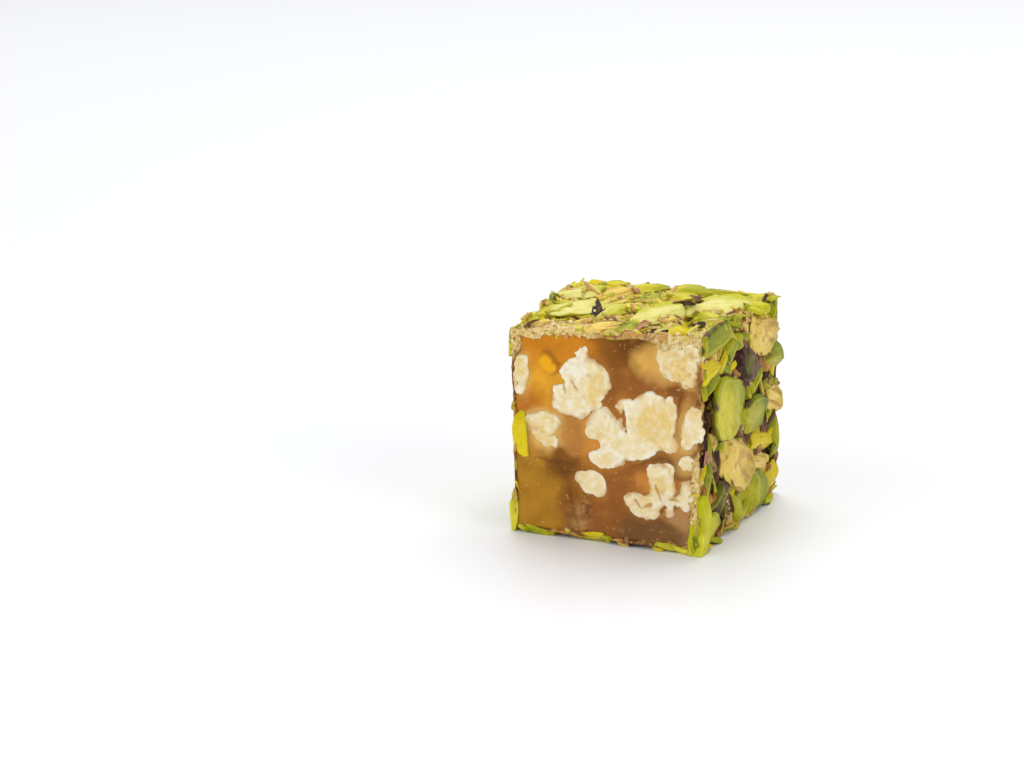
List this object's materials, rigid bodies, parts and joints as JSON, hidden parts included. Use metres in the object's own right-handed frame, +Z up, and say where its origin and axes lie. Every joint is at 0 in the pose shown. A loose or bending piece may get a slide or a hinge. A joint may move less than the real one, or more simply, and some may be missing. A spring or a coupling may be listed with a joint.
{
  "type": "turkish delight",
  "caption": "Cube of soft amber jelly with walnut pieces showing at its cut faces, wrapped on its other sides in a pressed coat of pistachio pieces.",
  "frame": {"origin": "on the surface the cube stands on, under the middle of the cube", "axes": "+Z up; the shown cut face looks along -Y, the other cut face along +Y; pistachio covers -X, +X, +Z and -Z"},
  "size_m": [0.0323, 0.0346, 0.0314],
  "materials": {
    "jelly": "translucent amber jelly with a soft wet gloss",
    "pistachio": "dry yellow-green kernel with purple-brown skin patches",
    "walnut": "matte cream kernel"
  },
  "bodies": {
    "root": {"jelly": "jelly", "pistachio_coat": "pistachio", "walnut_front_upper": "walnut", "walnut_front_left_edge": "walnut", "walnut_front_left": "walnut", "walnut_front_centre": "walnut", "walnut_front_right_edge": "walnut", "walnut_front_corner": "walnut", "walnut_front_lower": "walnut", "walnut_front_curl": "walnut", "walnut_back_1": "walnut", "walnut_back_2": "walnut", "walnut_back_4": "walnut", "walnut_back_6": "walnut", "walnut_back_8": "walnut", "walnut_back_9": "walnut"}
  },
  "joints": []
}
